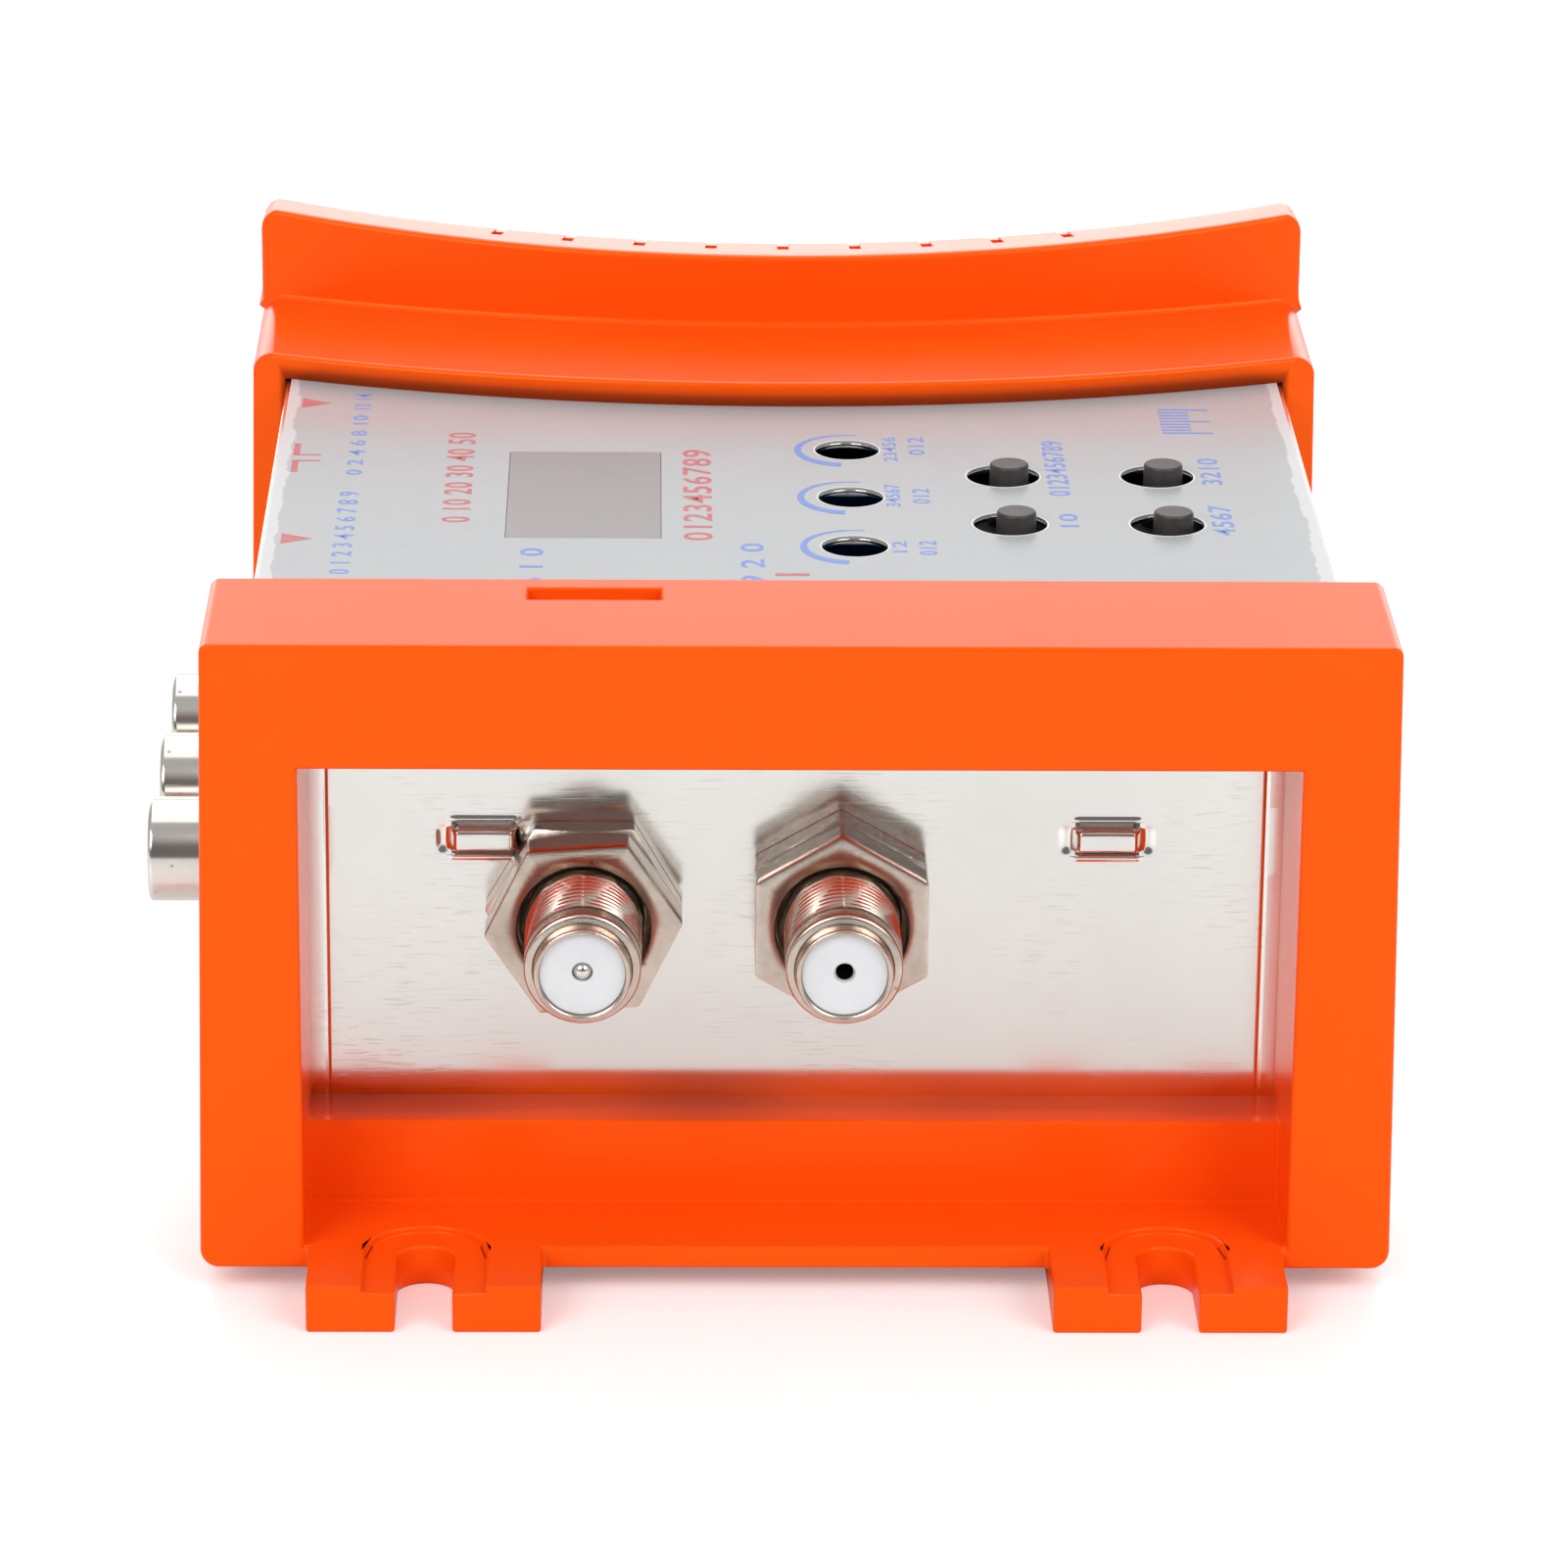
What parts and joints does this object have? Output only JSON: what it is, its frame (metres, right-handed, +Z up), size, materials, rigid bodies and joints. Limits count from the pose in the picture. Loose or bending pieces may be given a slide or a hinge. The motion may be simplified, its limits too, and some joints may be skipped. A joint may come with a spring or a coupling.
{
  "type": "rf modulator",
  "caption": "Tinplate modulator box between two moulded end caps, with coaxial jacks in front, phono jacks at the side, and trimmers, buttons and a display window on top.",
  "frame": {"origin": "under the middle of the whole outline, on the plane that the mounting tabs rest on", "axes": "+Z up, -Y out of the coaxial jacks, -X out of the phono jacks"},
  "size_m": [0.1012, 0.12, 0.0637],
  "materials": {
    "orange_plastic": "glossy moulded",
    "tinplate": "dull tinned, fine scratches",
    "label_film": "satin printed film",
    "window_film": "smoked",
    "screw_nickel": "nickel plated",
    "connector_nickel": "bright nickel plated",
    "white_insulator": "satin moulded",
    "contact_brass": "tinned or bare",
    "black_plastic": "moulded",
    "board_laminate": "solder masked",
    "button_plastic": "moulded",
    "trimmer_blue": "moulded",
    "trimmer_rotor": "moulded",
    "display_plastic": "smooth",
    "capacitor_sleeve": "shrink sleeve",
    "led_red": "clear tinted"
  },
  "bodies": {
    "case": {"front_end_cap": "orange_plastic", "rear_end_cap": "orange_plastic", "chassis_frame": "tinplate", "top_cover": "tinplate", "bottom_cover": "tinplate", "top_label": "label_film", "display_window": "window_film", "cap_screws": "screw_nickel", "antenna_jack_body": "connector_nickel", "antenna_jack_nut": "connector_nickel", "antenna_jack_insulator": "white_insulator", "antenna_jack_contact": "contact_brass", "output_jack_body": "connector_nickel", "output_jack_nut": "connector_nickel", "output_jack_insulator": "white_insulator", "output_jack_contact": "contact_brass", "phono_housing": "black_plastic", "phono_shells": "connector_nickel", "phono_insulators": "white_insulator", "phono_contacts": "contact_brass", "video_socket_shell": "connector_nickel", "video_socket_tongue": "black_plastic", "mode_switch_body": "connector_nickel", "main_board": "board_laminate", "control_board": "board_laminate", "board_posts": "contact_brass", "control_posts": "contact_brass", "board_screws": "screw_nickel", "board_link": "black_plastic", "tact_switch_bodies": "black_plastic", "trimmer_bodies": "trimmer_blue", "digit_display": "display_plastic", "tuner_can": "tinplate", "chips": "black_plastic", "crystal": "screw_nickel", "capacitors": "capacitor_sleeve", "voltage_regulator": "black_plastic", "dc_jack_body": "black_plastic", "dc_jack_pin": "contact_brass", "power_led": "led_red"},
    "button_front_left": {"button_front_left": "button_plastic"},
    "button_front_right": {"button_front_right": "button_plastic"},
    "button_rear_left": {"button_rear_left": "button_plastic"},
    "button_rear_right": {"button_rear_right": "button_plastic"},
    "trimmer_front": {"trimmer_front": "trimmer_rotor"},
    "trimmer_middle": {"trimmer_middle": "trimmer_rotor"},
    "trimmer_rear": {"trimmer_rear": "trimmer_rotor"},
    "mode_switch_knob": {"mode_switch_knob": "black_plastic"}
  },
  "joints": [
    {"name": "button_front_left_press", "type": "slide", "parent": "case", "child": "button_front_left", "axis": [0, 0, -1], "range_m": [0, 0.00025], "stiffness_N_per_m": 100, "springref_m": -0.002},
    {"name": "button_front_right_press", "type": "slide", "parent": "case", "child": "button_front_right", "axis": [0, 0, -1], "range_m": [0, 0.00025], "stiffness_N_per_m": 100, "springref_m": -0.002},
    {"name": "button_rear_left_press", "type": "slide", "parent": "case", "child": "button_rear_left", "axis": [0, 0, -1], "range_m": [0, 0.00025], "stiffness_N_per_m": 100, "springref_m": -0.002},
    {"name": "button_rear_right_press", "type": "slide", "parent": "case", "child": "button_rear_right", "axis": [0, 0, -1], "range_m": [0, 0.00025], "stiffness_N_per_m": 100, "springref_m": -0.002},
    {"name": "trimmer_front_turn", "type": "hinge", "parent": "case", "child": "trimmer_front", "pos_m": [0.00793, -0.02049, 0.0456], "axis": [0, 0, 1], "range_deg": [-135, 135]},
    {"name": "trimmer_middle_turn", "type": "hinge", "parent": "case", "child": "trimmer_middle", "pos_m": [0.00793, -0.00724, 0.0456], "axis": [0, 0, 1], "range_deg": [-135, 135]},
    {"name": "trimmer_rear_turn", "type": "hinge", "parent": "case", "child": "trimmer_rear", "pos_m": [0.00793, 0.00601, 0.0456], "axis": [0, 0, 1], "range_deg": [-135, 135]},
    {"name": "mode_switch_slide", "type": "slide", "parent": "case", "child": "mode_switch_knob", "axis": [0, 1, 0], "range_m": [0, 0.002]}
  ]
}
